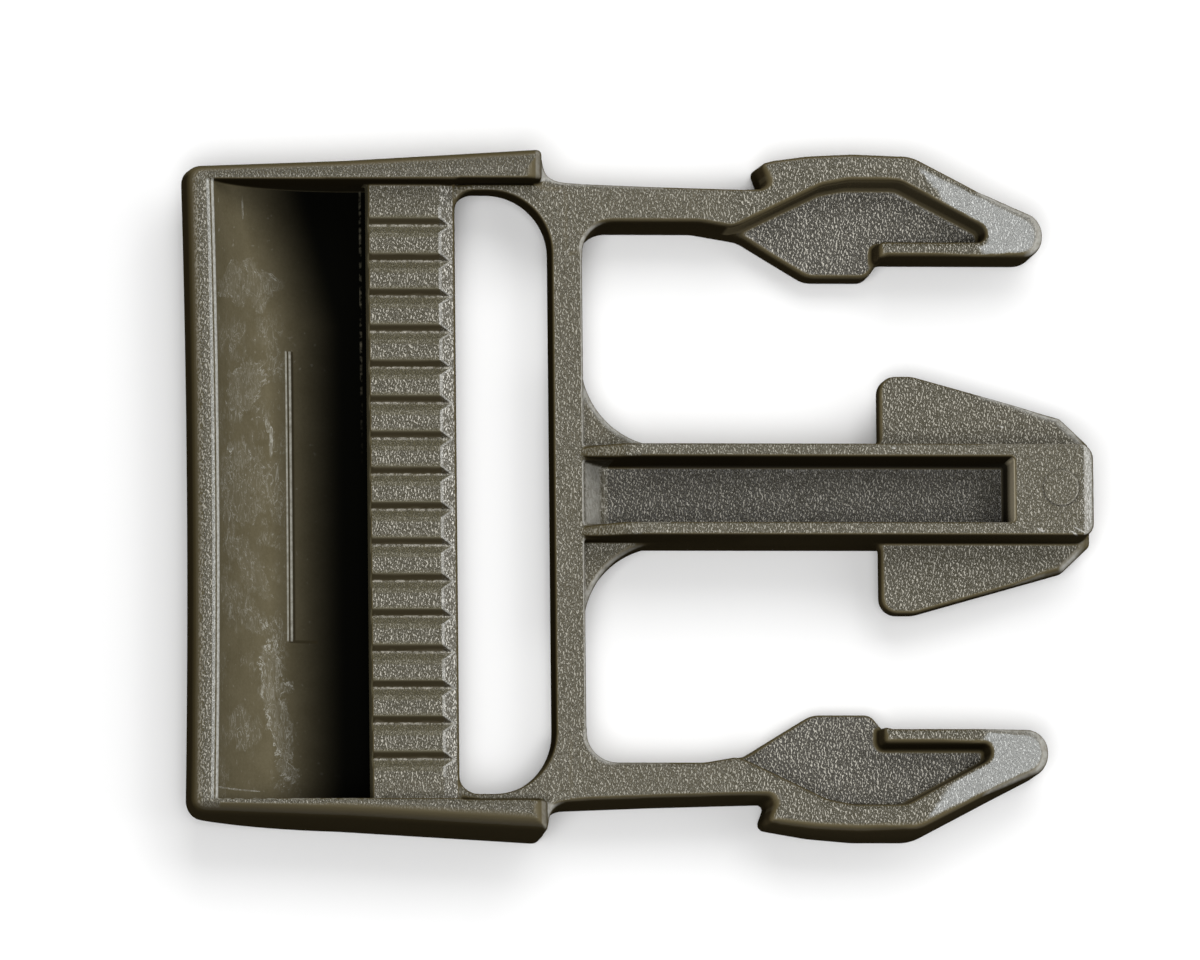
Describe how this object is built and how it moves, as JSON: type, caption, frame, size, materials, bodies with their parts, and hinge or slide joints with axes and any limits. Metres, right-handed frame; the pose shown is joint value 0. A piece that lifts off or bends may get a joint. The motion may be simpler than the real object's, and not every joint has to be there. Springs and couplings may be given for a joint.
{
  "type": "side release buckle plug",
  "caption": "Plug half of a side release buckle: a webbing frame with a toothed bar, sprung side arms with hooked heads, and a winged guide tongue.",
  "frame": {"origin": "centre of the footprint, on the surface that the front face lies on", "axes": "+X towards the nose and the arm tips, +Y across the webbing, +Z out of the strap side, which faces up"},
  "size_m": [0.059, 0.0446, 0.0082],
  "materials": {
    "moulding": "olive drab moulded plastic with a fine pebbled grain, smooth and half glossy in the trough and on the sides"
  },
  "bodies": {
    "root": {"buckle_plug": "moulding"}
  },
  "joints": []
}
